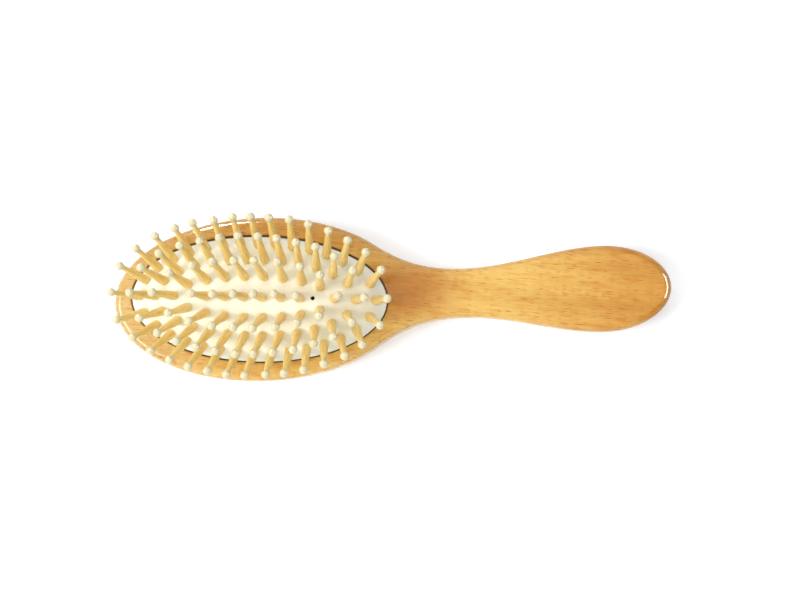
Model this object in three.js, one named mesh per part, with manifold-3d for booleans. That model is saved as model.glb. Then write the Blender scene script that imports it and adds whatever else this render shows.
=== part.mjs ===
// An oval cushion hair brush: a one-piece beech body, a domed rubber cushion and 82 turned
// wooden pins. Millimetres, +Z up. The brush lies on its flat back with the pins up, the head
// towards -X and the handle towards +X. The origin is on the back, half way along the length.
import * as THREE from 'three';
import { mergeVertices } from 'three/addons/utils/BufferGeometryUtils.js';
import Module from 'manifold-3d';

const wasm = await Module();
wasm.setup();

// Wooden body, cut from one board
const overallLength = 220;
const boardThickness = 15;
const headLength = 118;
const headWidth = 65;
const neckWidth = 19.1;
const neckFromTip = 139.5;
const handleWidth = 33.3;
const handleWidestFromEnd = 26;
const frontEdgeRadius = 3;
const backEdgeWidth = 5;
const backEdgeHeight = 5;

// Recess in the head that holds the cushion
const rimWidth = 7.1;
const recessDepth = 9;
const lipHeight = 2.2;
const grooveHeight = 2.4;
const grooveDepth = 1.6;

// The opening, with the cushion and the pins, is cut a little askew in the head
const openingTurn = THREE.MathUtils.degToRad(-2.8);

// Rubber cushion
const cushionCrown = 9;
const cushionWall = 2;
const cushionNeckWall = 1.7;
const ridgeLength = 45.2;
const cushionClearance = 0.3;
const airHoleDiameter = 1.7;
const airHoleFromCentre = 23.4;

// Pins, turned from wood
const pinReach = 17;
const ballDiameter = 3.4;
const shoulderDiameter = 3.7;
const pinNeckDiameter = 1.9;
const spigotDiameter = 1.9;
const footDiameter = 4;
const footThickness = 1;
const shoulderClearance = 0.3;
const footClearance = 0.4;
const spigotClearance = 0.3;
const bridgeWidth = 1.6;
const bridgeThickness = 0.6;

// How the pins stand on the cushion: level 0 is its crown ridge and level 1 its edge
const outerPins = 32;
const outerLevelShare = 0.842;
const middlePins = 26;
const middleLevelShare = 0.588;
const innerPins = 18;
const innerLevelShare = 0.314;
const centrePins = 6;
const centrePitch = 7.28;
const edgeLeanAcrossShare = 0.74;
const leanAcrossPower = 0.77;
const edgeLeanAlongShare = 0.5;
const leanAlongPower = 1.54;

// Curves of the outline, where the neck leaves the head and swells into the handle
const headLeaveAngle = THREE.MathUtils.degToRad(38.7);
const headLeaveShare = 0.4;
const neckFromHeadShare = 0.38;
const neckToHandleShare = 0.356;
const handleSwellShare = 0.32;

// Facets
const headFacets = 20;
const neckFacets = 8;
const swellFacets = 7;
const handleEndFacets = 8;
const edgeFacets = 3;
const recessFacets = 44;
const cushionFacets = 32;
const cushionLevelShares = [0, innerLevelShare, middleLevelShare, outerLevelShare, 1];
const pinFacets = 6;
const holeFacets = 6;
const ballLowTurn = THREE.MathUtils.degToRad(5);
const ballHighTurn = THREE.MathUtils.degToRad(50);

// One overrun serves every cut, and points closer than the weld are one point
const overrun = 1;
const weld = 0.0001;

// Worked out from the sizes above
const tipX = -overallLength / 2;
const headCentreX = tipX + headLength / 2;
const neckX = tipX + neckFromTip;
const endX = tipX + overallLength;
const handleX = endX - handleWidestFromEnd;
const rimZ = boardThickness;
const recessHalfLength = headLength / 2 - rimWidth;
const recessHalfWidth = headWidth / 2 - rimWidth;
const cushionHalfLength = recessHalfLength - cushionClearance;
const cushionHalfWidth = recessHalfWidth - cushionClearance;
const grooveTopZ = rimZ - lipHeight;
const grooveBottomZ = grooveTopZ - grooveHeight;
const flangeTopZ = grooveTopZ - cushionClearance;
const flangeBottomZ = grooveBottomZ + cushionClearance;
const inHead = new THREE.Matrix4().makeRotationZ(openingTurn).setPosition(headCentreX, 0, 0);

const beech = new THREE.MeshStandardMaterial({ color: 0xdea55f, roughness: 0.35, metalness: 0 });
const creamRubber = new THREE.MeshStandardMaterial({ color: 0xfcf8e8, roughness: 0.8, metalness: 0 });
const pinWood = new THREE.MeshStandardMaterial({ color: 0xe2b860, roughness: 0.5, metalness: 0 });

// A closed three.js geometry as a solid that can be cut and joined.
function solidOf(geometry) {
  const bare = geometry.clone();
  bare.deleteAttribute('normal');
  bare.deleteAttribute('uv');
  const merged = mergeVertices(bare, weld);
  return new wasm.Manifold(new wasm.Mesh({
    numProp: 3,
    vertProperties: merged.getAttribute('position').array,
    triVerts: new Uint32Array(merged.index.array),
  }));
}

// A solid as a three.js geometry.
function geometryOf(solid) {
  const mesh = solid.getMesh();
  const geometry = new THREE.BufferGeometry();
  geometry.setAttribute('position', new THREE.BufferAttribute(mesh.vertProperties, mesh.numProp));
  geometry.setIndex(new THREE.BufferAttribute(mesh.triVerts, 1));
  geometry.computeVertexNormals();
  return geometry;
}

// A closed skin over rings of points, all with as many points. The rings run anticlockwise
// seen from above, and the first and last are filled unless they are already closed lines.
function skin(rings, filled) {
  const count = rings[0].length;
  const index = [];
  for (let level = 0; level + 1 < rings.length; level += 1) {
    for (let i = 0; i < count; i += 1) {
      const here = level * count + i;
      const next = level * count + ((i + 1) % count);
      index.push(here, next, next + count);
      index.push(here, next + count, here + count);
    }
  }
  if (filled) {
    const last = (rings.length - 1) * count;
    for (const [a, b, c] of THREE.ShapeUtils.triangulateShape(rings[0], [])) {
      index.push(a, c, b);
    }
    for (const [a, b, c] of THREE.ShapeUtils.triangulateShape(rings.at(-1), [])) {
      index.push(last + a, last + b, last + c);
    }
  }
  const geometry = new THREE.BufferGeometry();
  const points = rings.flat().flatMap((point) => point.toArray());
  geometry.setAttribute('position', new THREE.Float32BufferAttribute(points, 3));
  geometry.setIndex(index);
  return geometry;
}

// One level of an oval stack, which lies as the opening does.
function ovalRing(halfLength, halfWidth, z, count) {
  return Array.from({ length: count }, (_, i) => {
    const turn = (2 * Math.PI * i) / count;
    const point = new THREE.Vector3(halfLength * Math.cos(turn), halfWidth * Math.sin(turn), z);
    return point.applyMatrix4(inHead);
  });
}

// The body's outline, anticlockwise from the end of the handle.
function bodyOutline() {
  const halfHead = headLength / 2;
  const halfHeadWidth = headWidth / 2;
  const leaveX = headCentreX + halfHead * Math.cos(headLeaveAngle);
  const leaveY = halfHeadWidth * Math.sin(headLeaveAngle);
  const along = new THREE.Vector2(-halfHead * Math.sin(headLeaveAngle),
    halfHeadWidth * Math.cos(headLeaveAngle)).normalize();
  const neckRun = neckX - leaveX;
  const swellRun = handleX - neckX;
  const handleEnd = new THREE.EllipseCurve(handleX, 0, endX - handleX, handleWidth / 2, 0, Math.PI / 2);
  const swell = new THREE.CubicBezierCurve(
    new THREE.Vector2(handleX, handleWidth / 2),
    new THREE.Vector2(handleX - swellRun * handleSwellShare, handleWidth / 2),
    new THREE.Vector2(neckX + swellRun * neckToHandleShare, neckWidth / 2),
    new THREE.Vector2(neckX, neckWidth / 2),
  );
  const leave = new THREE.Vector2(leaveX, leaveY);
  const neck = new THREE.CubicBezierCurve(
    new THREE.Vector2(neckX, neckWidth / 2),
    new THREE.Vector2(neckX - neckRun * neckFromHeadShare, neckWidth / 2),
    leave.clone().addScaledVector(along, -neckRun * headLeaveShare),
    leave,
  );
  const head = new THREE.EllipseCurve(headCentreX, 0, halfHead, halfHeadWidth, headLeaveAngle, Math.PI);
  const upper = [
    ...handleEnd.getPoints(handleEndFacets),
    ...swell.getPoints(swellFacets).slice(1),
    ...neck.getPoints(neckFacets).slice(1),
    ...head.getPoints(headFacets).slice(1),
  ];
  const lower = upper.slice(1, -1).reverse().map((point) => new THREE.Vector2(point.x, -point.y));
  return [...upper, ...lower];
}

// The outline drawn in by a distance, as a ring at a height.
function insetRing(outline, inset, z) {
  return outline.map((point, i) => {
    const before = outline.at(i - 1);
    const after = outline[(i + 1) % outline.length];
    const inward = new THREE.Vector2(before.y - after.y, after.x - before.x).normalize();
    return new THREE.Vector3(point.x + inward.x * inset, point.y + inward.y * inset, z);
  });
}

// The beech body: rounded edges front and back, and a recess with a groove for the cushion.
function makeBody() {
  const outline = bodyOutline();
  const rings = [];
  for (let i = 0; i <= edgeFacets; i += 1) {
    const turn = (Math.PI / 2) * (i / edgeFacets);
    const inset = backEdgeWidth * (1 - Math.sin(turn));
    rings.push(insetRing(outline, inset, backEdgeHeight * (1 - Math.cos(turn))));
  }
  for (let i = 0; i <= edgeFacets; i += 1) {
    const turn = (Math.PI / 2) * (i / edgeFacets);
    const inset = frontEdgeRadius * (1 - Math.cos(turn));
    rings.push(insetRing(outline, inset, rimZ - frontEdgeRadius * (1 - Math.sin(turn))));
  }
  const board = solidOf(skin(rings, true));
  const wide = [recessHalfLength + grooveDepth, recessHalfWidth + grooveDepth];
  const opening = [recessHalfLength, recessHalfWidth];
  const recess = solidOf(skin([
    ovalRing(...opening, rimZ - recessDepth, recessFacets),
    ovalRing(...opening, grooveBottomZ, recessFacets),
    ovalRing(...wide, grooveBottomZ, recessFacets),
    ovalRing(...wide, grooveTopZ, recessFacets),
    ovalRing(...opening, grooveTopZ, recessFacets),
    ovalRing(...opening, rimZ + overrun, recessFacets),
  ], true));
  return geometryOf(board.subtract(recess));
}

// A point of the cushion's upper surface, or below it along the surface's normal. Each level is
// an oval, which grows from the crown's ridge line to the cushion's edge.
function cushionPoint(level, turn, depth) {
  const ridge = ridgeLength / 2;
  const growLength = cushionHalfLength - ridge;
  const halfLength = ridge + growLength * level;
  const halfWidth = cushionHalfWidth * level;
  const cos = Math.cos(turn);
  const sin = Math.sin(turn);
  const z = rimZ + cushionCrown * (1 - level * level);
  const point = new THREE.Vector3(halfLength * cos, halfWidth * sin, z);
  const fall = 2 * cushionCrown * level;
  const rise = growLength * halfWidth * cos * cos + cushionHalfWidth * halfLength * sin * sin;
  const normal = new THREE.Vector3(fall * halfWidth * cos, fall * halfLength * sin, rise);
  if (level === 0) {
    normal.set(0, 0, 1);
  }
  return point.addScaledVector(normal.normalize(), -depth).applyMatrix4(inHead);
}

function cushionRing(level, depth) {
  return Array.from({ length: cushionFacets }, (_, i) => (
    cushionPoint(level, (2 * Math.PI * i) / cushionFacets, depth)));
}

// Where a pin stands: its foot point on the cushion's upper surface and the way it leans.
function pinStand(x, y, level) {
  const along = x / recessHalfLength;
  const across = y / recessHalfWidth;
  const leanAlong = Math.sign(along) * Math.abs(along) ** leanAlongPower;
  const leanAcross = Math.sign(across) * Math.abs(across) ** leanAcrossPower;
  const z = rimZ + cushionCrown * (1 - level * level);
  const lean = new THREE.Vector3(edgeLeanAlongShare * leanAlong, edgeLeanAcrossShare * leanAcross, 1);
  return {
    place: new THREE.Vector3(x, y, z).applyMatrix4(inHead),
    axis: lean.transformDirection(inHead),
  };
}

// The pins of one ring, equally spaced along one level of the cushion.
function ringStands(count, level) {
  const ridge = ridgeLength / 2;
  const halfLength = ridge + (cushionHalfLength - ridge) * level;
  const oval = new THREE.EllipseCurve(0, 0, halfLength, cushionHalfWidth * level);
  return oval.getSpacedPoints(count).slice(0, count).map((point) => pinStand(point.x, point.y, level));
}

function centreStands() {
  return Array.from({ length: centrePins }, (_, i) => (
    pinStand(centrePitch * (i - (centrePins - 1) / 2), 0, 0)));
}

// The matrix that stands a piece drawn along +Z at a pin's place.
function standMatrix(stand) {
  const lean = new THREE.Quaternion().setFromUnitVectors(new THREE.Vector3(0, 0, 1), stand.axis);
  return new THREE.Matrix4().compose(stand.place, lean, new THREE.Vector3(1, 1, 1));
}

// A turned pin along +Z, with the cushion's surface at z = 0: foot, spigot, shoulder and ball.
function makePin() {
  const ball = ballDiameter / 2;
  const pinNeck = pinNeckDiameter / 2;
  const footTop = -cushionWall - footClearance;
  const ballBottom = pinReach - Math.sqrt(ball * ball - pinNeck * pinNeck);
  const profile = [
    new THREE.Vector2(0, footTop - footThickness),
    new THREE.Vector2(footDiameter / 2, footTop),
    new THREE.Vector2(spigotDiameter / 2, footTop),
    new THREE.Vector2(spigotDiameter / 2, shoulderClearance),
    new THREE.Vector2(shoulderDiameter / 2, shoulderClearance),
    new THREE.Vector2(pinNeck, ballBottom),
    new THREE.Vector2(ball * Math.cos(ballLowTurn), pinReach + ball * Math.sin(ballLowTurn)),
    new THREE.Vector2(ball * Math.cos(ballHighTurn), pinReach + ball * Math.sin(ballHighTurn)),
    new THREE.Vector2(0, pinReach + ball),
  ];
  return new THREE.LatheGeometry(profile, pinFacets).rotateX(Math.PI / 2);
}

// A tool along +Z that opens a round hole right through the cushion.
function holeTool(radius) {
  const length = cushionWall + 2 * overrun;
  const outer = radius / Math.cos(Math.PI / holeFacets);
  const tool = new THREE.CylinderGeometry(outer, outer, length, holeFacets);
  return tool.rotateX(Math.PI / 2).translate(0, 0, -cushionWall / 2);
}

// The rubber cushion: a domed wall with an edge flange, a hole for each pin and an air hole.
function makeCushion(stands) {
  const flange = grooveDepth;
  const neckInner = -cushionNeckWall;
  const edgeRing = (offset, z) => (
    ovalRing(cushionHalfLength + offset, cushionHalfWidth + offset, z, cushionFacets));
  const outward = cushionLevelShares.map((level) => cushionRing(level, cushionWall));
  const inward = cushionLevelShares.toReversed().map((level) => cushionRing(level, 0));
  const shell = solidOf(skin([
    ...outward,
    edgeRing(neckInner, flangeTopZ),
    edgeRing(neckInner, flangeBottomZ),
    edgeRing(flange, flangeBottomZ),
    edgeRing(flange, flangeTopZ),
    edgeRing(0, flangeTopZ),
    ...inward,
  ], false));
  const hole = holeTool(spigotDiameter / 2 + spigotClearance);
  const airHole = pinStand(airHoleFromCentre, 0, 0);
  airHole.axis.set(0, 0, 1);
  const cuts = stands.map((stand) => solidOf(hole.clone().applyMatrix4(standMatrix(stand))));
  cuts.push(solidOf(holeTool(airHoleDiameter / 2).applyMatrix4(standMatrix(airHole))));
  return geometryOf(shell.subtract(wasm.Manifold.union(cuts)));
}

// The bar under the cushion that joins the feet of two neighbouring pins.
function makeBridge(first, second) {
  const down = -cushionWall - footClearance - footThickness / 2;
  const start = first.place.clone().addScaledVector(first.axis, down);
  const end = second.place.clone().addScaledVector(second.axis, down);
  const along = end.clone().sub(start);
  const up = first.axis.clone().add(second.axis);
  const side = new THREE.Vector3().crossVectors(up, along).normalize();
  const top = new THREE.Vector3().crossVectors(along, side).normalize();
  const turn = new THREE.Matrix4().makeBasis(along.clone().normalize(), side, top);
  const bar = new THREE.BoxGeometry(along.length(), bridgeWidth, bridgeThickness);
  return bar.applyMatrix4(turn.setPosition(start.add(end).multiplyScalar(1 / 2)));
}

const pin = makePin();
const outerStands = ringStands(outerPins, outerLevelShare);
const middleStands = ringStands(middlePins, middleLevelShare);
const innerStands = ringStands(innerPins, innerLevelShare);
const rowStands = centreStands();
const allStands = [...outerStands, ...middleStands, ...innerStands, ...rowStands];

function addMesh(parent, name, geometry, material) {
  const mesh = new THREE.Mesh(geometry, material);
  mesh.name = name;
  parent.add(mesh);
  return mesh;
}

function numbered(name, i) {
  return `${name}_${String(i + 1).padStart(2, '0')}`;
}

// A ring of single pins, each its own piece.
function addSinglePins(parent, name, stands) {
  stands.forEach((stand, i) => {
    addMesh(parent, numbered(name, i), pin, pinWood).applyMatrix4(standMatrix(stand));
  });
}

// A ring of pins in neighbouring pairs, each pair joined at its feet.
function addPinPairs(parent, name, stands) {
  for (let i = 0; i + 1 < stands.length; i += 2) {
    const [first, second] = [stands[i], stands[i + 1]];
    const pieces = [
      pin.clone().applyMatrix4(standMatrix(first)),
      pin.clone().applyMatrix4(standMatrix(second)),
      makeBridge(first, second),
    ];
    addMesh(parent, numbered(name, i / 2), geometryOf(wasm.Manifold.union(pieces.map(solidOf))), pinWood);
  }
}

const brush = new THREE.Group();
addMesh(brush, 'wooden_body', makeBody(), beech);
addMesh(brush, 'rubber_cushion', makeCushion(allStands), creamRubber);
const pins = new THREE.Group();
brush.add(pins);
addSinglePins(pins, 'pin_outer', outerStands);
addPinPairs(pins, 'pin_pair_middle', middleStands);
addPinPairs(pins, 'pin_pair_inner', innerStands);
addPinPairs(pins, 'pin_pair_centre', rowStands);

export default brush;
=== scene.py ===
"""An oval cushion hair brush: lacquered beech, a cream rubber cushion and 82 turned wooden pins.

Everything is in metres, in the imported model's own place. The brush lies on its flat back with the
pins up, the head towards -X and the handle towards +X.
"""

import math
import random

import bmesh
import bpy
from bpy.props import FloatProperty, FloatVectorProperty, IntProperty, PointerProperty
from mathutils import Matrix, Quaternion, Vector
from mathutils.geometry import interpolate_bezier
from mathutils.kdtree import KDTree


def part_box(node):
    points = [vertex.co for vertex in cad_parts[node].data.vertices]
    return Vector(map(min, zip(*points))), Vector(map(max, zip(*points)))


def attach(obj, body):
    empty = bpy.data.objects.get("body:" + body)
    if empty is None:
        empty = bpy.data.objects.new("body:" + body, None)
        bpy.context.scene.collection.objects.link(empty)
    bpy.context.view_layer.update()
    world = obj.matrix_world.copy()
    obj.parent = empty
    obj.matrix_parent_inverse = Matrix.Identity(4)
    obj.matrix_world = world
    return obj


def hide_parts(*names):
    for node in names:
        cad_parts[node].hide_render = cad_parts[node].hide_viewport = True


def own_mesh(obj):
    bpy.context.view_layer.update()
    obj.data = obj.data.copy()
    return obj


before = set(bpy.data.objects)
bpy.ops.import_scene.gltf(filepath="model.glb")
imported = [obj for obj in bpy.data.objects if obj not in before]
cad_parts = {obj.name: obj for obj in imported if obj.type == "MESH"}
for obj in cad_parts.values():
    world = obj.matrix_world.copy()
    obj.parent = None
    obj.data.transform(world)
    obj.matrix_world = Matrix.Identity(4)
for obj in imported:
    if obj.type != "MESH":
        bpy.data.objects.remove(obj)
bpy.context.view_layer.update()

bl_info = {
    "name": "Oval cushion hair brush",
    "version": (1, 0, 0),
    "blender": (4, 5, 0),
    "location": "View3D > Sidebar > Brush",
    "description": "Builds a beech hair brush with a rubber cushion and turned wooden pins",
    "category": "Mesh",
}

MM = 0.001
BODY_LOW, BODY_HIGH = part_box("wooden_body")
WELD = 0.001 * MM


def hex_rgb(code):
    """An sRGB hex colour as linear red, green and blue."""
    parts = [int(code[i:i + 2], 16) / 255 for i in (1, 3, 5)]
    return [p / 12.92 if p <= 0.04045 else ((p + 0.055) / 1.055) ** 2.4 for p in parts]


def length(name, description, millimetres):
    """A size that a user may change."""
    return FloatProperty(
        name=name, description=description, default=millimetres * MM, unit="LENGTH")


def colour(name, description, code):
    """A colour that a user may change."""
    return FloatVectorProperty(
        name=name, description=description, default=hex_rgb(code), subtype="COLOR", min=0, max=1)


class BrushBodySizes(bpy.types.PropertyGroup):
    """Sizes of the one-piece beech body."""

    overall_length: FloatProperty(
        name="Length", description="From the tip of the head to the end of the handle",
        default=BODY_HIGH.x - BODY_LOW.x, unit="LENGTH")
    thickness: FloatProperty(
        name="Thickness", description="Thickness of the board", default=BODY_HIGH.z, unit="LENGTH")
    head_length: length("Head length", "Length of the oval that the head follows", 118)
    head_width: length("Head width", "Width of the head", 65)
    neck_width: length("Neck width", "Width of the narrowest place", 19.1)
    neck_from_tip: length("Neck place", "From the tip of the head to the narrowest place", 139.5)
    handle_width: length("Handle width", "Width of the handle where it is widest", 33.3)
    handle_from_end: length("Handle place", "From the handle's end to where it is widest", 26)
    front_radius: length("Front edge", "Radius of the rounded edge round the front", 3)
    back_radius: length("Back edge", "Radius of the rounded edge round the back", 5)
    rim_width: length("Rim width", "Wood between the head's edge and the opening", 7.1)
    opening_turn: FloatProperty(
        name="Opening turn", description="How far askew the opening and the pins lie in the head",
        default=math.radians(-2.8), unit="ROTATION")
    mouth_radius: length("Opening edge", "Radius of the broken edge round the opening", 0.4)
    recess_depth: length("Recess depth", "Depth of the recess under the cushion", 9)
    lip_height: length("Lip height", "Wood above the groove", 2.2)
    groove_height: length("Groove height", "Height of the groove that holds the cushion", 2.4)
    groove_depth: length("Groove depth", "How far the groove reaches into the wood", 1.6)


class BrushCushionSizes(bpy.types.PropertyGroup):
    """Sizes of the rubber cushion."""

    crown: length("Crown", "Height of the cushion above the rim", 9)
    ridge_length: length("Ridge length", "Length of the line along the top of the crown", 45.2)
    wall: length("Wall", "Thickness of the rubber", 2)
    neck_wall: length("Neck wall", "Thickness of the rubber where it passes the lip", 1.7)
    gap: length("Gap", "Space between rubber and wood", 0.3)
    edge_gap: length("Edge gap", "How much further the dome's rolled edge is drawn in", 0.45)
    off_centre: FloatVectorProperty(
        name="Off centre", description="How far the cushion sits from the middle of its opening",
        subtype="XYZ", unit="LENGTH", default=(0.15 * MM, -0.2 * MM, 0))
    dimple_depth: length("Dimple depth", "How far each pin pulls the rubber in", 0.45)
    dimple_radius: length("Dimple radius", "How far round a pin the rubber is drawn in", 2.3)
    air_hole: length("Air hole", "Diameter of the hole that lets the cushion breathe", 1.7)
    air_hole_place: length("Air hole place", "From the cushion's centre to the air hole", 23.4)


class BrushPinSizes(bpy.types.PropertyGroup):
    """Sizes, counts and lean of the turned pins."""

    reach: length("Reach", "From the rubber to the centre of the ball", 17)
    ball: length("Ball", "Diameter of the ball tip", 3.4)
    neck: length("Neck", "Diameter under the ball", 1.9)
    club: length("Club", "Diameter where the stem is thickest", 3.7)
    club_height: length("Club height", "From the rubber to where the stem is thickest", 1.9)
    spigot: length("Spigot", "Diameter of the stem inside the rubber", 1.9)
    foot: length("Foot", "Diameter of the foot under the rubber", 4)
    foot_thickness: length("Foot thickness", "Height of the foot", 1)
    centre_pitch: length("Centre pitch", "Distance between two pins of the centre row", 7.28)
    scatter: FloatProperty(
        name="Scatter", description="How much the pins' lean varies", default=math.radians(0.7),
        unit="ROTATION")
    outer_count: IntProperty(
        name="Outer pins", description="Pins of the outer ring", default=32)
    middle_count: IntProperty(
        name="Middle pins", description="Pins of the middle ring", default=26)
    inner_count: IntProperty(
        name="Inner pins", description="Pins of the inner ring", default=18)
    centre_count: IntProperty(
        name="Centre pins", description="Pins of the centre row", default=6)


class BrushColours(bpy.types.PropertyGroup):
    """Colours of the wood and the rubber."""

    beech_light: colour("Beech, light", "Early wood of the body", "#ECC46C")
    beech_dark: colour("Beech, dark", "Late wood of the body", "#DEB15A")
    beech_heart: colour("Beech, heart", "The redder wood by the neck", "#BC7C32")
    beech_sap: colour("Beech, sapwood", "The paler wood towards the tip of the head", "#D0B67E")
    beech_fleck: colour("Beech, fleck", "The short rays in the wood", "#B2481A")
    rubber_cream: colour("Rubber", "The cushion's rubber", "#FAFCF0")
    rubber_shade: colour("Rubber, shade", "The furrows pressed into the rubber", "#E8DFB6")
    # Painted shade: the colour of the shade in the gap between rubber and wood
    rubber_gap_shade: colour("Dust", "The dark line between rubber and wood", "#8E6034")
    pin_straw: colour("Pin wood", "The stems of the pins", "#F6E29C")
    pin_amber: colour("Pin wood, dark", "The darker fibres of the stems", "#EAC670")
    pin_tip: colour("Pin tip", "The paler end grain of the balls", "#DFD6B1")


class BrushStudio(bpy.types.PropertyGroup):
    """The camera, the lamps and the white ground."""

    camera_place: FloatVectorProperty(
        name="Camera", description="Where the camera stands", subtype="XYZ", unit="LENGTH",
        default=(55.556 * MM, -36.747 * MM, 499.942 * MM))
    camera_turn: FloatVectorProperty(
        name="Camera turn", default=(3.976, 5.948, -1.514),
        description="Axis of the view's turn from straight down, as long as the turn in degrees")
    lens: FloatProperty(name="Lens", description="Focal length in millimetres", default=56.32)
    ground_size: FloatProperty(
        name="Ground", description="Width of the white ground", default=4, unit="LENGTH")
    ground_white: colour("Ground colour", "The white card under the brush", "#EAF1F8")
    ground_glow: FloatProperty(
        name="Ground glow", description="How much whiter the ground is seen than it is lit",
        default=0.34)
    sky: FloatProperty(
        name="Sky", description="Strength of the even light from all sides", default=0.21)


# Lamps: name, where each stands in metres, its width and height, its power in watts, and whether
# it lights the brush or only shows in the lacquer's gloss
LAMPS = (
    ("key_softbox", (-0.75, -0.14, 0.9), (0.5, 0.45), 8.0, True),
    ("front_window", (-0.1, -1.1, 0.6), (1.5, 0.9), 6.4, True),
    ("back_window", (-0.2, 0.95, 0.8), (1.4, 0.7), 5.2, True),
    ("top_sheet", (-0.1, 0.1, 1.2), (1.6, 1.4), 5.6, True),
    ("rim_strip", (-0.47, 0.96, 0.66), (0.26, 0.5), 26.0, False),
    ("end_strip", (0.42, 0.03, 0.22), (0.3, 0.15), 4.0, False),
)

# Seen in gloss, the sky is white up to the first height, and has its own strength from the second.
# A height is the sine of the angle above the horizon
HORIZON = (0.1, 0.6)

# Between the first and the second distance from the brush the ground turns plain white
GROUND_FADE = (0.25, 0.6)

# The camera's sensor, in millimetres
SENSOR_WIDTH = 36

# The beech's grain runs a little askew, by so many degrees
GRAIN_TURN = -7

# Its colour changes slowly over the board. Each pair says where a change starts and where it is
# full: paler towards the tip, darker and redder along the far side, which is painted shade for the
# side that the pins shade and that faces away from the light, and darker towards the handle's end
SAPWOOD = (-45 * MM, -105 * MM)
FAR_SIDE_SHADOW_SPAN = (11 * MM, 22 * MM)
HANDLE_WOOD = (44 * MM, 104 * MM)

# It is reddest round a place by the neck. The pair says how far from there that starts and is
# full, and a distance across the board counts for more than one along it
HEART_PLACE = (7 * MM, 2 * MM, 15 * MM)
HEART_SHAPE = (1, 1.8, 0)
HEART_REACH = (33 * MM, 4 * MM)

# What its colour is multiplied by on the far side, where it is painted shade, at the handle's end,
# in its mottling and in its darker fibres
FAR_SIDE_PAINTED_SHADE = (0.86, 0.74, 0.6, 1)
HANDLE_SHADE = (0.84, 0.65, 0.43, 1)
MOTTLE_SHADE = (0.92, 0.76, 0.58, 1)
FIBRE_SHADE = (0.9, 0.74, 0.52, 1)

# Ray flecks: the size of the cells they lie in, in millimetres, how rare and how strong they are
FLECKS = (((5.4, 0.42, 1.1), 0.6, 0.85), ((3, 0.32, 0.8), 0.5, 0.65))

# The length, width and height of each pattern's marks, in millimetres
BEECH_BANDS = (110, 9, 14)
BEECH_MOTTLES = (7, 2, 4)
BEECH_FIBRES = (12, 0.5, 0.6)
RUBBER_PATCHES = (22, 16, 30)
RUBBER_WEAR = (9, 9, 9)
PIN_FIBRES = (0.4, 0.4, 6)
PIN_SHADES = (12, 12, 60)

# The settings of a pattern with soft edges
SOFT = {"Detail": 2, "Roughness": 0.55}

# How deep the wood's fibres and the rubber's cloth print lie in the surface
FIBRE_DEPTH = 0.03 * MM
WEAVE_DEPTH = 0.06 * MM

# The rubber's cloth print, in millimetres from thread to thread. It is drawn a little coarser
# than it is, so that it shows
WEAVE_PITCH = 0.95

# The direction in which its threads change from one way to the other, patch by patch
WEAVE_CHANGE = Vector((1, 1, 0)).normalized() / (120 * MM)

# How far below the rim the rubber starts to darken with painted shade, where it goes down into
# the gap by the wood, and where that painted shade is darkest
GAP_SHADE_DEPTH = (0.2 * MM, 1.2 * MM)

# Each pin comes from another spot of the wood: so far along for its number in its ring, and so
# far across for each pin that the ring has
WOOD_STRIDE = (31 * MM, 17 * MM)

# Where the paler end grain starts and is full, as shares of a pin's reach, and the same for the
# lathe's mark, from the top of the ball down
END_GRAIN_SHARES = (0.8, 0.97)
LATHE_MARK = (0.09 * MM, 0.05 * MM)

# The mesh attribute that holds where each point was on the lathe
LATHE_PLACE = "lathe_place"

# How the pins stand: level 0 is the crown's ridge and level 1 the cushion's edge
OUTER_LEVEL = 0.842
MIDDLE_LEVEL = 0.588
INNER_LEVEL = 0.314

# A pin leans outwards by a slope. It grows with the pin's place, as a share of the way to the
# opening's edge, to a power
LEAN_ACROSS = 0.74
LEAN_ACROSS_POWER = 0.77
LEAN_ALONG = 0.5
LEAN_ALONG_POWER = 1.54

# Into how many stretches a ring's oval is divided to space its pins
OVAL_DIVISIONS = 200

# A stem's thick end from below: how wide and how high, as shares of the club's radius and height
CLUB_ROUNDING = ((0.74, -0.17), (0.9, -0.12), (0.97, 0), (1, 0.3), (1, 1), (0.965, 1.7))

# The foot of a pin is so many times as wide below as above, and hangs so far under the rubber
FOOT_TAPER = 0.7
FOOT_DROP = 0.3 * MM

# The dome's rolled edge, from below: how far in and how far up, as shares of the edge gap. The
# dome goes on from it at so many edge gaps in, and has its dimples from so many above the rim
EDGE_ROLL = ((1, -1), (1, 0.2), (1.15, 0.65), (1.4, 0.95))
DOME_START = 1.6
DIMPLE_START = 2

# A dimple is lost in the dome at this many of its radii
DIMPLE_FADE = 3

# A pin hole is drilled through this many times the rubber's thickness
DRILL_REACH = 3

# The outline's curves: where on the head's oval the throat leaves it, and for how long each end
# of the throat and of the handle's swell keeps its direction, as shares of their lengths along X
HEAD_LEAVE_TURN = math.radians(38.7)
HEAD_LEAVE_SHARE = 0.4
NECK_FROM_HEAD_SHARE = 0.38
NECK_TO_HANDLE_SHARE = 0.356
HANDLE_SWELL_SHARE = 0.32

# Edges that turn by more than this stay sharp
WOOD_CREASE = math.radians(35)
RUBBER_CREASE = math.radians(40)
PIN_CREASE = math.radians(50)

# How finely the pieces are drawn
HEAD_STEPS = 130
NECK_STEPS = 44
SWELL_STEPS = 40
HANDLE_END_STEPS = 40
EDGE_STEPS = 8
OPENING_STEPS = 220
MOUTH_STEPS = 4
CUSHION_STEPS = 320
CUSHION_LEVELS = 48
INNER_LEVELS = 12
PIN_STEPS = 20
HOLE_STEPS = 16
BALL_STEPS = 9


# Nodes and materials


def add_node(tree, kind, inputs=None, output=0, **settings):
    """Add a node with its settings, and give one of its outputs.

    An input is a value, or the output that feeds it.
    """
    node = tree.nodes.new(kind)
    for key, value in settings.items():
        setattr(node, key, value)
    for key, value in (inputs or {}).items():
        if isinstance(value, bpy.types.NodeSocket):
            tree.links.new(value, node.inputs[key])
        else:
            node.inputs[key].default_value = value
    return node.outputs[output]


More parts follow.
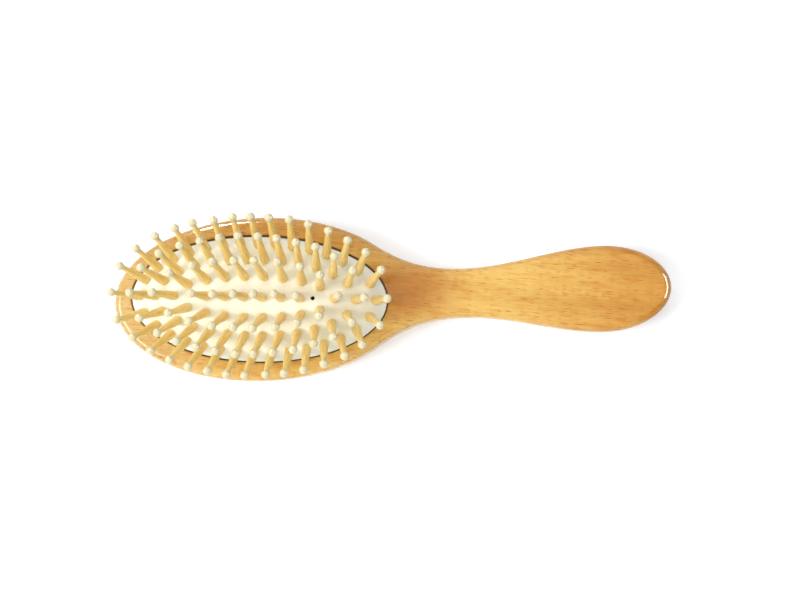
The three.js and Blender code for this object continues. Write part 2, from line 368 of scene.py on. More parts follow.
def new_material(name):
    """An empty material, its node tree and its output."""
    material = bpy.data.materials.new(name)
    material.use_nodes = True
    tree = material.node_tree
    tree.nodes.clear()
    return material, tree, tree.nodes.new("ShaderNodeOutputMaterial")


def pattern(tree, kind, place, size, inputs, turn=0):
    """A texture whose marks have a length, width and height in millimetres, turned about Z."""
    marks = add_node(tree, "ShaderNodeMapping", {
        "Vector": place, "Scale": Vector(size) * MM, "Rotation": (0, 0, math.radians(turn))},
        vector_type="TEXTURE")
    return add_node(tree, kind, {"Vector": marks, "Scale": 1, **inputs})


def paint(tree, under, over, value, none, full, share, blend="MIX"):
    """Lay a colour over another: not at all at one end of a value, and by a share at the other."""
    amount = add_node(tree, "ShaderNodeMapRange", {
        "Value": value, "From Min": none, "From Max": full, "To Min": 0, "To Max": share},
        interpolation_type="SMOOTHSTEP")
    return add_node(
        tree, "ShaderNodeMix", {0: amount, 6: under, 7: over}, 2, data_type="RGBA",
        blend_type=blend)


def lacquered_beech(colours):
    """Steamed beech, planed and clear lacquered: straight grain, short ray flecks, a wet gloss."""
    material, tree, output = new_material("lacquered_beech_body")
    place = add_node(tree, "ShaderNodeTexCoord", output="Object")
    along = add_node(tree, "ShaderNodeSeparateXYZ", {0: place}, "X")
    across = add_node(tree, "ShaderNodeSeparateXYZ", {0: place}, "Y")

    # Growth rings show as slow bands, many times as long as they are wide
    bands = pattern(
        tree, "ShaderNodeTexNoise", place, BEECH_BANDS,
        {"Detail": 3, "Roughness": 0.5, "Distortion": 0.5}, GRAIN_TURN)
    base = paint(
        tree, (*colours.beech_dark, 1), (*colours.beech_light, 1), bands, 0.34, 0.66, 1)
    # Paler wood towards the tip, and redder wood between the cushion and the neck
    base = paint(tree, base, (*colours.beech_sap, 1), along, *SAPWOOD, 0.75)
    to_heart = add_node(
        tree, "ShaderNodeVectorMath", {0: place, 1: HEART_PLACE}, operation="SUBTRACT")
    to_heart = add_node(
        tree, "ShaderNodeVectorMath", {0: to_heart, 1: HEART_SHAPE}, operation="MULTIPLY")
    heart_distance = add_node(
        tree, "ShaderNodeVectorMath", {0: to_heart}, "Value", operation="LENGTH")
    base = paint(tree, base, (*colours.beech_heart, 1), heart_distance, *HEART_REACH, 0.9)
    # Painted shade darkens and reddens the far side of the head, where the pins shade it and it
    # faces away from the light, and the board darkens towards the handle's end
    base = paint(tree, base, FAR_SIDE_PAINTED_SHADE, across, *FAR_SIDE_SHADOW_SPAN, 1, "MULTIPLY")
    base = paint(tree, base, HANDLE_SHADE, along, *HANDLE_WOOD, 1, "MULTIPLY")
    # Soft mottling, and fibres half a millimetre across
    mottle = pattern(tree, "ShaderNodeTexNoise", place, BEECH_MOTTLES, SOFT, GRAIN_TURN)
    base = paint(tree, base, MOTTLE_SHADE, mottle, 0.54, 0.36, 0.6, "MULTIPLY")
    fibres = pattern(
        tree, "ShaderNodeTexNoise", place, BEECH_FIBRES, {"Detail": 3, "Roughness": 0.6},
        GRAIN_TURN)
    base = paint(tree, base, FIBRE_SHADE, fibres, 0.56, 0.34, 0.75, "MULTIPLY")

    # Ray flecks, dashes 2 to 4 mm long and 0.3 mm wide, in some of the cells of each size
    for size, rarity, strength in FLECKS:
        distance = pattern(tree, "ShaderNodeTexVoronoi", place, size, {}, GRAIN_TURN)
        cell = add_node(
            tree, "ShaderNodeSeparateColor", {"Color": distance.node.outputs["Color"]})
        share = add_node(tree, "ShaderNodeMapRange", {
            "Value": cell, "From Min": rarity, "From Max": 0.95, "To Min": 0,
            "To Max": strength}, interpolation_type="SMOOTHSTEP")
        base = paint(tree, base, (*colours.beech_fleck, 1), distance, 0.4, 0.16, share)

    # The fibres stand a few hundredths of a millimetre under the lacquer
    relief = add_node(tree, "ShaderNodeBump", {
        "Strength": 0.25, "Distance": FIBRE_DEPTH, "Height": fibres})
    shader = add_node(tree, "ShaderNodeBsdfPrincipled", {
        "Base Color": base, "Normal": relief, "Roughness": 0.5, "Specular IOR Level": 0,
        "Coat Weight": 0.8, "Coat Roughness": 0.06, "Coat IOR": 1.5})
    tree.links.new(shader, output.inputs[0])
    return material


def cream_rubber(colours):
    """Moulded natural rubber, matt, with the print of a cloth in it."""
    material, tree, output = new_material("cream_rubber_cushion")
    place = add_node(tree, "ShaderNodeTexCoord", output="Object")

    # The cloth's threads run one way on most of the cushion, and the other way towards the tip
    ribs = [
        pattern(
            tree, "ShaderNodeTexWave", place, (WEAVE_PITCH,) * 3,
            {"Scale": math.pi / 10, "Distortion": 0.7, "Detail": 1, "Detail Scale": 0.3}, turn)
        .node.outputs["Fac"] for turn in (45, -45)]
    side = add_node(
        tree, "ShaderNodeVectorMath", {0: place, 1: WEAVE_CHANGE}, "Value",
        operation="DOT_PRODUCT")
    patches = pattern(tree, "ShaderNodeTexNoise", place, RUBBER_PATCHES, SOFT)
    patches = add_node(tree, "ShaderNodeMath", {0: patches, 1: side}, operation="SUBTRACT")
    patches = add_node(tree, "ShaderNodeMapRange", {
        "Value": patches, "From Min": 0.93, "From Max": 1.08, "To Min": 0.1, "To Max": 0.9},
        interpolation_type="SMOOTHSTEP")
    weave = add_node(
        tree, "ShaderNodeMix", {0: patches, 2: ribs[0], 3: ribs[1]}, data_type="FLOAT")
    # The print is partly worn off in places
    worn = pattern(tree, "ShaderNodeTexNoise", place, RUBBER_WEAR, SOFT)
    share = add_node(tree, "ShaderNodeMapRange", {
        "Value": worn, "From Min": 0.35, "From Max": 0.6, "To Min": 0.1575, "To Max": 0.45},
        interpolation_type="SMOOTHSTEP")
    base = paint(
        tree, (*colours.rubber_cream, 1), (*colours.rubber_shade, 1), weave, 0.75, 0, share)
    # Painted shade darkens the rubber where it goes down past the wood into the gap
    height = add_node(tree, "ShaderNodeSeparateXYZ", {0: place}, "Z")
    start, end = (BODY_HIGH.z - depth for depth in GAP_SHADE_DEPTH)
    base = paint(tree, base, (*colours.rubber_gap_shade, 1), height, start, end, 0.9)

    relief = add_node(tree, "ShaderNodeBump", {
        "Strength": 0.3, "Distance": WEAVE_DEPTH, "Height": weave})
    shader = add_node(tree, "ShaderNodeBsdfPrincipled", {
        "Base Color": base, "Normal": relief, "Roughness": 0.8, "IOR": 1.4})
    tree.links.new(shader, output.inputs[0])
    return material


def turned_pin_wood(colours, sizes):
    """Turned lotus wood, tumbled smooth: fibres along the stem, pale end grain on the ball."""
    material, tree, output = new_material("turned_pin_wood")
    amber = (*colours.pin_amber, 1)
    place = add_node(
        tree, "ShaderNodeAttribute", output="Vector", attribute_name=LATHE_PLACE)
    fibres = pattern(
        tree, "ShaderNodeTexNoise", place, PIN_FIBRES, {"Detail": 3, "Roughness": 0.55})
    base = paint(tree, amber, (*colours.pin_straw, 1), fibres, 0.3, 0.6, 1)
    # Each pin has its own shade of the wood
    shades = pattern(
        tree, "ShaderNodeTexNoise", place, PIN_SHADES, {"Detail": 0, "Roughness": 0.55})
    base = paint(tree, base, amber, shades, 0.65, 0.35, 0.45)

    # The ball is paler than the stem, and has the lathe's mark on its top
    height = add_node(tree, "ShaderNodeSeparateXYZ", {0: place}, "Z")
    start, end = (sizes.reach * share for share in END_GRAIN_SHARES)
    base = paint(tree, base, (*colours.pin_tip, 1), height, start, end, 0.92)
    start, end = (sizes.reach + sizes.ball / 2 - depth for depth in LATHE_MARK)
    base = paint(tree, base, amber, height, start, end, 0.25)
    relief = add_node(tree, "ShaderNodeBump", {
        "Strength": 0.3, "Distance": FIBRE_DEPTH, "Height": fibres})
    shader = add_node(tree, "ShaderNodeBsdfPrincipled", {
        "Base Color": base, "Normal": relief, "Roughness": 0.4, "IOR": 1.45})
    tree.links.new(shader, output.inputs[0])
    return material


# Shapes


def add_piece(name, mesh, material, body, slot, *nodes):
    """Show a mesh as a piece that rides on a body and stands for the CAD nodes."""
    piece = bpy.data.objects.new(name, mesh)
    bpy.context.scene.collection.objects.link(piece)
    mesh.materials.append(material)
    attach(piece, body)
    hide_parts(*nodes)
    return piece


def smooth_mesh(name, bm, sharp_angle):
    """A mesh from a bmesh, smooth but for the edges that turn by more than the angle."""
    bmesh.ops.recalc_face_normals(bm, faces=bm.faces[:])
    mesh = bpy.data.meshes.new(name)
    bm.to_mesh(mesh)
    bm.free()
    mesh.shade_smooth()
    mesh.set_sharp_from_angle(angle=sharp_angle)
    return mesh


def new_oval(bm, oval, where, steps):
    """Draw an oval as a loop of edges. An oval is its half length, half width and height."""
    half_length, half_width, height = oval
    shape = Matrix.Translation((0, 0, height)) @ Matrix.Diagonal((half_length, half_width, 1, 1))
    verts = bmesh.ops.create_circle(bm, segments=steps, radius=1, matrix=where @ shape)["verts"]
    return list({edge for vert in verts for edge in vert.link_edges})


def next_oval(bm, edges, old, new, where):
    """Draw a loop of edges out to a new oval."""
    made = bmesh.ops.extrude_edge_only(bm, edges=edges)["geom"]
    verts = [item for item in made if isinstance(item, bmesh.types.BMVert)]
    lines = [item for item in made if isinstance(item, bmesh.types.BMEdge)]
    bmesh.ops.scale(
        bm, vec=(new[0] / old[0], new[1] / old[1], 1), space=where.inverted(), verts=verts)
    bmesh.ops.translate(bm, vec=(0, 0, new[2] - old[2]), verts=verts)
    fresh = set(verts)
    return [line for line in lines if line.verts[0] in fresh and line.verts[1] in fresh]


def draw_ovals(bm, edges, ovals, where):
    """Draw a loop of edges out through a row of ovals, the first of which it stands on."""
    for old, new in zip(ovals, ovals[1:]):
        edges = next_oval(bm, edges, old, new, where)
    return edges


def ellipse_arc(centre_x, half_length, half_width, start, end, steps):
    """Points along part of an ellipse that lies on the X axis."""
    turns = [start + (end - start) * i / steps for i in range(steps + 1)]
    return [
        Vector((centre_x + half_length * math.cos(turn), half_width * math.sin(turn), 0))
        for turn in turns]


def head_centre(body):
    """Where the head's oval has its centre along X."""
    return BODY_LOW.x + body.head_length / 2


def opening_place(body):
    """Where the opening lies, a little askew about the head's centre."""
    turn = Matrix.Rotation(body.opening_turn, 4, "Z")
    return Matrix.Translation((head_centre(body), 0, 0)) @ turn


def half_outline(body):
    """The +Y half of the body's outline, from the handle's end to the tip of the head."""
    half_head, half_head_width = body.head_length / 2, body.head_width / 2
    end_x = BODY_LOW.x + body.overall_length
    neck_x = BODY_LOW.x + body.neck_from_tip
    handle_x = end_x - body.handle_from_end
    leave = Vector((
        head_centre(body) + half_head * math.cos(HEAD_LEAVE_TURN),
        half_head_width * math.sin(HEAD_LEAVE_TURN), 0))
    along = Vector((
        -half_head * math.sin(HEAD_LEAVE_TURN), half_head_width * math.cos(HEAD_LEAVE_TURN), 0))
    neck_run, swell_run = neck_x - leave.x, handle_x - neck_x
    neck = Vector((neck_x, body.neck_width / 2, 0))
    handle = Vector((handle_x, body.handle_width / 2, 0))
    end = ellipse_arc(handle_x, body.handle_from_end, handle.y, 0, math.pi / 2, HANDLE_END_STEPS)
    swell = interpolate_bezier(
        handle, handle - Vector((swell_run * HANDLE_SWELL_SHARE, 0, 0)),
        neck + Vector((swell_run * NECK_TO_HANDLE_SHARE, 0, 0)), neck, SWELL_STEPS + 1)
    throat = interpolate_bezier(
        neck, neck - Vector((neck_run * NECK_FROM_HEAD_SHARE, 0, 0)),
        leave - along.normalized() * neck_run * HEAD_LEAVE_SHARE, leave, NECK_STEPS + 1)
    head = ellipse_arc(
        head_centre(body), half_head, half_head_width, HEAD_LEAVE_TURN, math.pi, HEAD_STEPS)
    return [*end, *swell[1:], *throat[1:], *head[1:]]


def edges_at(bm, height):
    """The edges that lie at a height."""
    return [
        edge for edge in bm.edges
        if all(abs(vert.co.z - height) < WELD for vert in edge.verts)]


def shape_body(body):
    """The board, rounded front and back, with the recess and its groove cut into the head."""
    bm = bmesh.new()
    verts = [bm.verts.new(point) for point in half_outline(body)]
    lines = [bm.edges.new(pair) for pair in zip(verts, verts[1:])]
    bmesh.ops.mirror(bm, geom=verts + lines, axis="Y", merge_dist=WELD)
    bmesh.ops.remove_doubles(bm, verts=bm.verts[:], dist=WELD)
    bmesh.ops.edgeloop_fill(bm, edges=bm.edges[:])
    raised = bmesh.ops.extrude_face_region(bm, geom=bm.faces[:])["geom"]
    bmesh.ops.translate(
        bm, vec=(0, 0, body.thickness),
        verts=[item for item in raised if isinstance(item, bmesh.types.BMVert)])
    for height, radius in ((0, body.back_radius), (body.thickness, body.front_radius)):
        bmesh.ops.bevel(
            bm, geom=edges_at(bm, height), offset=radius, offset_type="OFFSET", affect="EDGES",
            segments=EDGE_STEPS, profile=0.5, material=-1, clamp_overlap=False)
    flats = sorted(bm.faces, key=lambda face: face.calc_area())[-2:]
    for flat in flats:
        bmesh.ops.inset_region(bm, faces=[flat], thickness=body.mouth_radius, use_even_offset=True)
    top = max(flats, key=lambda face: face.calc_center_median().z)
    border = list(top.edges)
    bmesh.ops.delete(bm, geom=[top], context="FACES_ONLY")

    where = opening_place(body)
    half_length = body.head_length / 2 - body.rim_width
    half_width = body.head_width / 2 - body.rim_width
    rim = body.thickness
    radius = body.mouth_radius

    def grown(extra, height):
        return half_length + extra, half_width + extra, height

    groove_top = rim - body.lip_height
    groove_bottom = groove_top - body.groove_height
    ovals = [grown(2 * radius, rim), grown(radius, rim)]
    for step in range(1, MOUTH_STEPS + 1):
        turn = math.pi / 2 * step / MOUTH_STEPS
        ovals.append(grown(radius * (1 - math.sin(turn)), rim - radius * (1 - math.cos(turn))))
    ovals += [
        grown(0, groove_top), grown(body.groove_depth, groove_top),
        grown(body.groove_depth, groove_bottom), grown(0, groove_bottom),
        grown(0, rim - body.recess_depth)]
    mouth = new_oval(bm, ovals[0], where, OPENING_STEPS)
    bmesh.ops.triangle_fill(bm, edges=border + mouth, use_beauty=True, normal=(0, 0, 1))
    floor = draw_ovals(bm, mouth, ovals, where)
    bmesh.ops.edgeloop_fill(bm, edges=floor)
    return smooth_mesh("beech_body", bm, WOOD_CREASE)


def dome_ovals(half_length, half_width, ridge, base, crown, first, steps):
    """The ovals of a dome, from its first level to its ridge."""
    ovals = []
    for step in range(steps, -1, -1):
        level = first * step / steps
        ovals.append((
            ridge + (half_length - ridge) * level, half_width * level,
            base + crown * (1 - level ** 2)))
    return ovals


def cushion_half(body, cushion):
    """Half length and half width of the cushion where it leaves the wood."""
    drawn_in = body.rim_width + cushion.gap
    return body.head_length / 2 - drawn_in, body.head_width / 2 - drawn_in


def pull_dimples(bm, stands, cushion, lowest):
    """Draw the rubber in round the foot of every pin."""
    feet = KDTree(len(stands))
    for i, (place, _) in enumerate(stands):
        feet.insert(place, i)
    feet.balance()
    reach = DIMPLE_FADE * cushion.dimple_radius
    bm.normal_update()
    for vert in bm.verts:
        if vert.co.z <= lowest:
            continue
        pull = 0
        for _, _, distance in feet.find_range(vert.co, reach):
            pull += math.exp(-(distance / cushion.dimple_radius) ** 2)
        vert.co.z -= cushion.dimple_depth * min(pull, 1)


def shape_dome(body, cushion, stands):
    """The domed wall of the cushion, dimpled round each pin, with a rolled edge, closed inside."""
    where = opening_place(body) @ Matrix.Translation(cushion.off_centre)
    half_length, half_width = cushion_half(body, cushion)
    ridge, rim, gap = cushion.ridge_length / 2, body.thickness, cushion.edge_gap
    outside = [
        (half_length - gap * inset, half_width - gap * inset, rim + gap * rise)
        for inset, rise in EDGE_ROLL]
    first = 1 - DOME_START * gap / half_width
    outside += dome_ovals(
        half_length, half_width, ridge, rim, cushion.crown, first, CUSHION_LEVELS)
    inside = dome_ovals(
        half_length - cushion.neck_wall, half_width - cushion.neck_wall, ridge, rim,
        cushion.crown - cushion.wall, 1, INNER_LEVELS)
    bm = bmesh.new()
    edge = new_oval(bm, outside[0], where, CUSHION_STEPS)
    draw_ovals(bm, edge, outside, where)
    pull_dimples(bm, stands, cushion, rim + DIMPLE_START * gap)
    draw_ovals(bm, edge, [outside[0], *inside], where)
    bmesh.ops.remove_doubles(bm, verts=bm.verts[:], dist=10 * WELD)
    return smooth_mesh("rubber_dome", bm, RUBBER_CREASE)


def shape_edge(body, cushion):
    """The ring of rubber that goes down past the lip and spreads out in the groove."""
    where = opening_place(body) @ Matrix.Translation(cushion.off_centre)
    half_length, half_width = cushion_half(body, cushion)
    outer, inner = -cushion.edge_gap, -cushion.neck_wall
    top = body.thickness + cushion.edge_gap * EDGE_ROLL[0][1]
    flange_top = body.thickness - body.lip_height - cushion.gap
    flange_bottom = body.thickness - body.lip_height - body.groove_height + cushion.gap
    ring = [
        (outer, top), (outer, flange_top), (body.groove_depth, flange_top),
        (body.groove_depth, flange_bottom), (inner, flange_bottom), (inner, top), (outer, top)]
    ovals = [(half_length + extra, half_width + extra, height) for extra, height in ring]
    bm = bmesh.new()
    draw_ovals(bm, new_oval(bm, ovals[0], where, CUSHION_STEPS), ovals, where)
    bmesh.ops.remove_doubles(bm, verts=bm.verts[:], dist=WELD)
    return smooth_mesh("rubber_edge", bm, RUBBER_CREASE)


def cut_holes(piece, places, depth):
    """Cut a round hole through a piece at each place, given with its axis and its radius."""
    bm = bmesh.new()
    for place, axis, radius in places:
        turn = Vector((0, 0, 1)).rotation_difference(axis).to_matrix().to_4x4()
        bmesh.ops.create_cone(
            bm, cap_ends=True, segments=HOLE_STEPS, radius1=radius, radius2=radius, depth=depth,
            matrix=Matrix.Translation(place) @ turn)
    drills = bpy.data.meshes.new("drills")
    bm.to_mesh(drills)
    bm.free()
    tool = bpy.data.objects.new("drills", drills)
    bpy.context.scene.collection.objects.link(tool)
    cut = piece.modifiers.new("holes", "BOOLEAN")
    cut.operation = "DIFFERENCE"
    cut.solver = "EXACT"
    cut.object = tool
    view = bpy.context.evaluated_depsgraph_get()
    drilled = bpy.data.meshes.new_from_object(piece.evaluated_get(view))
    piece.modifiers.remove(cut)
    piece.data = drilled
    bpy.data.objects.remove(tool)


# Pins


def pin_stand(body, cushion, x, y, level):
    """Where a pin leaves the rubber, and the way it leans."""
    along = x / (body.head_length / 2 - body.rim_width)
    across = y / (body.head_width / 2 - body.rim_width)
    lean_along = math.copysign(abs(along) ** LEAN_ALONG_POWER, along)
    lean_across = math.copysign(abs(across) ** LEAN_ACROSS_POWER, across)
    where = opening_place(body)
    place = where @ Vector((x, y, body.thickness + cushion.crown * (1 - level ** 2)))
    lean = where.to_3x3() @ Vector((LEAN_ALONG * lean_along, LEAN_ACROSS * lean_across, 1))
    return place, lean.normalized()


def ring_stands(body, cushion, level, count):
    """The pins of a ring, equally spaced along one level of the cushion."""
    edge_length, edge_width = cushion_half(body, cushion)
    ridge = cushion.ridge_length / 2
    half_length = ridge + (edge_length - ridge) * level
    half_width = edge_width * level
    oval = ellipse_arc(0, half_length, half_width, 0, 2 * math.pi, OVAL_DIVISIONS)
    run = [0]
    for before, after in zip(oval, oval[1:]):
        run.append(run[-1] + (after - before).length)
    stands = []
    for i in range(count):
        target = run[-1] * i / count
        step = next(k for k in range(OVAL_DIVISIONS) if run[k + 1] > target)
        part = (target - run[step]) / (run[step + 1] - run[step])
        turn = 2 * math.pi * (step + part) / OVAL_DIVISIONS
        stands.append(pin_stand(
            body, cushion, half_length * math.cos(turn), half_width * math.sin(turn), level))
    return stands


def centre_stands(body, cushion, pins):
    """The pins of the row along the crown's ridge."""
    first = -(pins.centre_count - 1) / 2
    return [
        pin_stand(body, cushion, pins.centre_pitch * (first + i), 0, 0)
        for i in range(pins.centre_count)]


def all_stands(body, cushion, pins):
    """Every pin's place and lean, ring by ring from the outside."""
    return {
        "outer": ring_stands(body, cushion, OUTER_LEVEL, pins.outer_count),
        "middle": ring_stands(body, cushion, MIDDLE_LEVEL, pins.middle_count),
        "inner": ring_stands(body, cushion, INNER_LEVEL, pins.inner_count),
        "centre": centre_stands(body, cushion, pins),
    }


def shape_pin(pins, wall):
    """One pin on the lathe, along +Z, with the rubber's surface at z = 0."""
    ball, neck, club = pins.ball / 2, pins.neck / 2, pins.club / 2
    foot, spigot = pins.foot / 2, pins.spigot / 2
    foot_top = -wall - FOOT_DROP
    foot_bottom = foot_top - pins.foot_thickness
    ball_low = -math.acos(neck / ball)
    profile = [
        (0, foot_bottom), (foot * FOOT_TAPER, foot_bottom), (foot, foot_top), (spigot, foot_top)]
    profile += [(spigot, CLUB_ROUNDING[0][1] * pins.club_height)]
    profile += [(club * wide, pins.club_height * high) for wide, high in CLUB_ROUNDING]
    for step in range(BALL_STEPS + 1):
        turn = ball_low + (math.pi / 2 - ball_low) * step / BALL_STEPS
        profile.append((ball * math.cos(turn), pins.reach + ball * math.sin(turn)))
    bm = bmesh.new()
    verts = [bm.verts.new((radius, 0, height)) for radius, height in profile]
    lines = [bm.edges.new(pair) for pair in zip(verts, verts[1:])]
    bmesh.ops.spin(
        bm, geom=verts + lines, cent=(0, 0, 0), axis=(0, 0, 1), angle=2 * math.pi, steps=PIN_STEPS,
        use_merge=True)
    bmesh.ops.remove_doubles(bm, verts=bm.verts[:], dist=WELD)
    return smooth_mesh("turned_pin", bm, PIN_CREASE)


def add_pins(ring, body_name, node_of):
    """Turn the pins of one ring and set each in its place."""
    brush = bpy.context.scene.brush
    stands = all_stands(brush.body, brush.cushion, brush.pins)[ring]
    material = bpy.data.materials.get("turned_pin_wood")
    material = material or turned_pin_wood(brush.colours, brush.pins)
    lathe = shape_pin(brush.pins, brush.cushion.wall)
    chance = random.Random(ring)
    for i, (place, axis) in enumerate(stands):
        name = f"turned_pin_{ring}_{i + 1:02d}"
        mesh = lathe.copy()
        mesh.name = name
        spot = Vector((WOOD_STRIDE[0] * (i + 1), WOOD_STRIDE[1] * len(stands), 0))
        marks = mesh.attributes.new(LATHE_PLACE, "FLOAT_VECTOR", "POINT")
        marks.data.foreach_set("vector", [v for vert in mesh.vertices for v in vert.co + spot])
        # No pin leans quite as its neighbours do
        stray = Vector((chance.gauss(0, 1), chance.gauss(0, 1), 0)) * math.tan(brush.pins.scatter)
        turn = Vector((0, 0, 1)).rotation_difference(axis + stray).to_matrix().to_4x4()
        mesh.transform(Matrix.Translation(place) @ turn)
        add_piece(name, mesh, material, body_name, "pin_wood", node_of(i))
    bpy.data.meshes.remove(lathe)


# Operators, one for each piece or group of like pieces


class BRUSH_OT_beech_body(bpy.types.Operator):
    """Cut the beech body with its rounded edges, recess and groove"""

    bl_idname = "brush.beech_body"
    bl_label = "Beech body"

    def execute(self, context):
        brush = context.scene.brush
        add_piece(
            "beech_body", shape_body(brush.body), lacquered_beech(brush.colours), "brush_body",
            "lacquered_beech", "wooden_body")
        return {"FINISHED"}


class BRUSH_OT_rubber_cushion(bpy.types.Operator):
    """Mould the rubber cushion, with its dimples, pin holes, air hole and edge"""

    bl_idname = "brush.rubber_cushion"
    bl_label = "Rubber cushion"

    def execute(self, context):
        brush = context.scene.brush
        body, cushion, pins = brush.body, brush.cushion, brush.pins
        stands = [stand for ring in all_stands(body, cushion, pins).values() for stand in ring]
        material = cream_rubber(brush.colours)
        dome = add_piece(
            "rubber_dome", shape_dome(body, cushion, stands), material, "brush_body",
            "cream_rubber", "rubber_cushion")
        holes = [(place, axis, pins.spigot / 2 + cushion.gap) for place, axis in stands]
        air_place, _ = pin_stand(body, cushion, cushion.air_hole_place, 0, 0)
        holes.append((air_place, Vector((0, 0, 1)), cushion.air_hole / 2))
        cut_holes(dome, holes, DRILL_REACH * cushion.wall)
        edge = add_piece(
            "rubber_edge", shape_edge(body, cushion), material, "brush_body", "cream_rubber",
            "rubber_cushion")
        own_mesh(dome)
        return {"FINISHED"}


class BRUSH_OT_outer_pins(bpy.types.Operator):
    """Turn the pins of the outer ring"""

    bl_idname = "brush.outer_pins"
    bl_label = "Outer pins"

    def execute(self, context):
        add_pins("outer", "outer_ring", lambda i: f"pin_outer_{i + 1:02d}")
        return {"FINISHED"}


class BRUSH_OT_middle_pins(bpy.types.Operator):
    """Turn the pins of the middle ring"""

    bl_idname = "brush.middle_pins"
    bl_label = "Middle pins"

    def execute(self, context):
        add_pins("middle", "middle_ring", lambda i: f"pin_pair_middle_{i // 2 + 1:02d}")
        return {"FINISHED"}


class BRUSH_OT_inner_pins(bpy.types.Operator):
    """Turn the pins of the inner ring"""

    bl_idname = "brush.inner_pins"
    bl_label = "Inner pins"

    def execute(self, context):
        add_pins("inner", "inner_ring", lambda i: f"pin_pair_inner_{i // 2 + 1:02d}")
        return {"FINISHED"}


class BRUSH_OT_centre_pins(bpy.types.Operator):
    """Turn the pins of the centre row"""

    bl_idname = "brush.centre_pins"
    bl_label = "Centre pins"

    def execute(self, context):
        add_pins("centre", "centre_row", lambda i: f"pin_pair_centre_{i // 2 + 1:02d}")
        return {"FINISHED"}


def rays(tree, *kinds):
    """An output that is 1 for light rays of these kinds, and 0 for others."""
    path = add_node(tree, "ShaderNodeLightPath").node
    found = path.outputs[kinds[0]]
    for kind in kinds[1:]:
        found = add_node(
            tree, "ShaderNodeMath", {0: found, 1: path.outputs[kind]}, operation="MAXIMUM")
    return found


def white_ground(white, glow):
    """Matt white card. What is seen of it is over-exposed, so that only deep shade stays grey."""
    material, tree, output = new_material("white_card")
    card = add_node(tree, "ShaderNodeBsdfDiffuse", {"Color": (*white, 1)})
    # Away from the brush the lamps fade, and the card is plain white
    place = add_node(tree, "ShaderNodeTexCoord", output="Object")
    distance = add_node(tree, "ShaderNodeVectorMath", {0: place}, "Value", operation="LENGTH")
    start, end = GROUND_FADE
    level = add_node(tree, "ShaderNodeMapRange", {
        "Value": distance, "From Min": start, "From Max": end, "To Min": glow, "To Max": 1},
        interpolation_type="SMOOTHSTEP")
    seen = rays(tree, "Is Camera Ray", "Is Glossy Ray", "Is Transmission Ray")
    level = add_node(tree, "ShaderNodeMath", {0: seen, 1: level}, operation="MULTIPLY")
    light = add_node(tree, "ShaderNodeEmission", {"Strength": level})
    both = add_node(tree, "ShaderNodeAddShader", {0: card, 1: light})
    tree.links.new(both, output.inputs[0])
    return material


def light_sky(strength):
    """Even white light from all sides, plain white where it is seen."""
    world = bpy.data.worlds.new("studio_sky")
    world.use_nodes = True
    tree = world.node_tree
    tree.nodes.clear()
    # Gloss shows the white horizon and the darker ceiling
    way = add_node(tree, "ShaderNodeTexCoord", output="Generated")
    height = add_node(tree, "ShaderNodeSeparateXYZ", {0: way}, "Z")
    start, end = HORIZON
    horizon = add_node(tree, "ShaderNodeMapRange", {
        "Value": height, "From Min": start, "From Max": end, "To Min": 1, "To Max": strength},
        interpolation_type="SMOOTHSTEP")
    level = add_node(
        tree, "ShaderNodeMath", {0: horizon, 1: rays(tree, "Is Glossy Ray")},
        operation="MULTIPLY")
    for other in (rays(tree, "Is Camera Ray", "Is Transmission Ray"), strength):
        level = add_node(tree, "ShaderNodeMath", {0: level, 1: other}, operation="MAXIMUM")
    glow = add_node(
        tree, "ShaderNodeBackground", {"Color": (1, 1, 1, 1), "Strength": level})
    output = tree.nodes.new("ShaderNodeOutputWorld")
    tree.links.new(glow, output.inputs[0])
    bpy.context.scene.world = world


def add_lamp(name, place, size, power, lights_brush):
    """A soft white lamp that faces the brush, and lights it or only shows in its gloss."""
    data = bpy.data.lights.new(name, "AREA")
    data.shape = "RECTANGLE"
    data.size, data.size_y = size
    data.energy = power
    lamp = bpy.data.objects.new(name, data)
    lamp.location = place
    lamp.rotation_euler = (-Vector(place)).to_track_quat("-Z", "Y").to_euler()
    lamp.visible_diffuse = lights_brush
    bpy.context.scene.collection.objects.link(lamp)


def add_camera(studio):
    """The camera at the photograph's place, nearly straight above the brush."""
    data = bpy.data.cameras.new("camera")
    data.sensor_width = SENSOR_WIDTH
    data.lens = studio.lens
    camera = bpy.data.objects.new("camera", data)
    turn = Vector([math.radians(part) for part in studio.camera_turn])
    camera.matrix_world = (
        Matrix.Translation(studio.camera_place)
        @ Quaternion(turn.normalized(), turn.length).to_matrix().to_4x4())
    bpy.context.scene.collection.objects.link(camera)
    bpy.context.scene.camera = camera


class BRUSH_OT_stage(bpy.types.Operator):
    """Lay the white ground, hang the lamps and set up the camera"""

    bl_idname = "brush.stage"
    bl_label = "Stage"

    def execute(self, context):
        studio = context.scene.brush.studio
        bm = bmesh.new()
        bmesh.ops.create_grid(bm, x_segments=1, y_segments=1, size=studio.ground_size / 2)
        mesh = bpy.data.meshes.new("white_ground")
        bm.to_mesh(mesh)
        bm.free()
        mesh.materials.append(white_ground(studio.ground_white, studio.ground_glow))
        ground = bpy.data.objects.new("white_ground", mesh)
        context.scene.collection.objects.link(ground)
        light_sky(studio.sky)
        for lamp in LAMPS:
            add_lamp(*lamp)
        add_camera(studio)
        context.scene.view_settings.view_transform = "Standard"
        return {"FINISHED"}


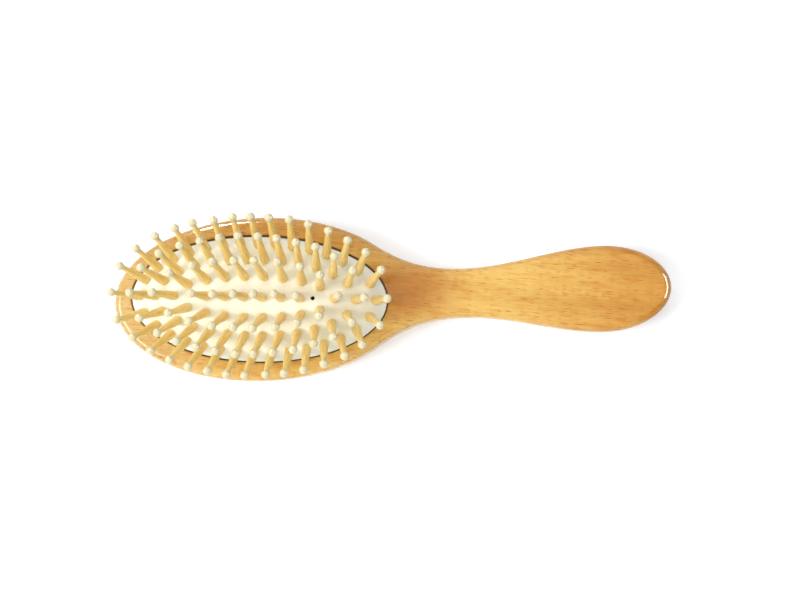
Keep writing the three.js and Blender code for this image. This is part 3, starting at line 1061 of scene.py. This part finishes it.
class BrushSettings(bpy.types.PropertyGroup):
    """All the settings of the brush."""

    body: PointerProperty(
        type=BrushBodySizes, name="Body", description="Sizes of the beech body")
    cushion: PointerProperty(
        type=BrushCushionSizes, name="Cushion", description="Sizes of the rubber cushion")
    pins: PointerProperty(
        type=BrushPinSizes, name="Pins", description="Sizes of the turned pins")
    colours: PointerProperty(
        type=BrushColours, name="Colours", description="Colours of the wood and the rubber")
    studio: PointerProperty(
        type=BrushStudio, name="Studio", description="Camera, lamps and ground")


class BRUSH_PT_panel(bpy.types.Panel):
    """Lists the pieces of the brush and their settings"""

    bl_idname = "BRUSH_PT_panel"
    bl_label = "Oval cushion hair brush"
    bl_space_type = "VIEW_3D"
    bl_region_type = "UI"
    bl_category = "Brush"

    def draw(self, context):
        layout = self.layout
        for operator in OPERATORS:
            layout.operator(operator.bl_idname)
        brush = context.scene.brush
        for group in (brush.body, brush.cushion, brush.pins, brush.colours, brush.studio):
            box = layout.box()
            for key in group.bl_rna.properties.keys():
                if key not in ("rna_type", "name"):
                    box.prop(group, key)


OPERATORS = (
    BRUSH_OT_beech_body,
    BRUSH_OT_rubber_cushion,
    BRUSH_OT_outer_pins,
    BRUSH_OT_middle_pins,
    BRUSH_OT_inner_pins,
    BRUSH_OT_centre_pins,
    BRUSH_OT_stage,
)
GROUPS = (
    BrushBodySizes, BrushCushionSizes, BrushPinSizes, BrushColours, BrushStudio, BrushSettings)


def register():
    """Register the settings, the operators and the panel."""
    for part in (*GROUPS, *OPERATORS, BRUSH_PT_panel):
        bpy.utils.register_class(part)
    bpy.types.Scene.brush = PointerProperty(type=BrushSettings)


def unregister():
    """Take away what register added."""
    del bpy.types.Scene.brush
    for part in reversed((*GROUPS, *OPERATORS, BRUSH_PT_panel)):
        bpy.utils.unregister_class(part)


def main():
    """Build the brush and the stage."""
    register()
    bpy.ops.brush.beech_body()
    bpy.ops.brush.rubber_cushion()
    bpy.ops.brush.outer_pins()
    bpy.ops.brush.middle_pins()
    bpy.ops.brush.inner_pins()
    bpy.ops.brush.centre_pins()
    bpy.ops.brush.stage()
    bpy.context.view_layer.update()


if __name__ == "__main__":
    main()
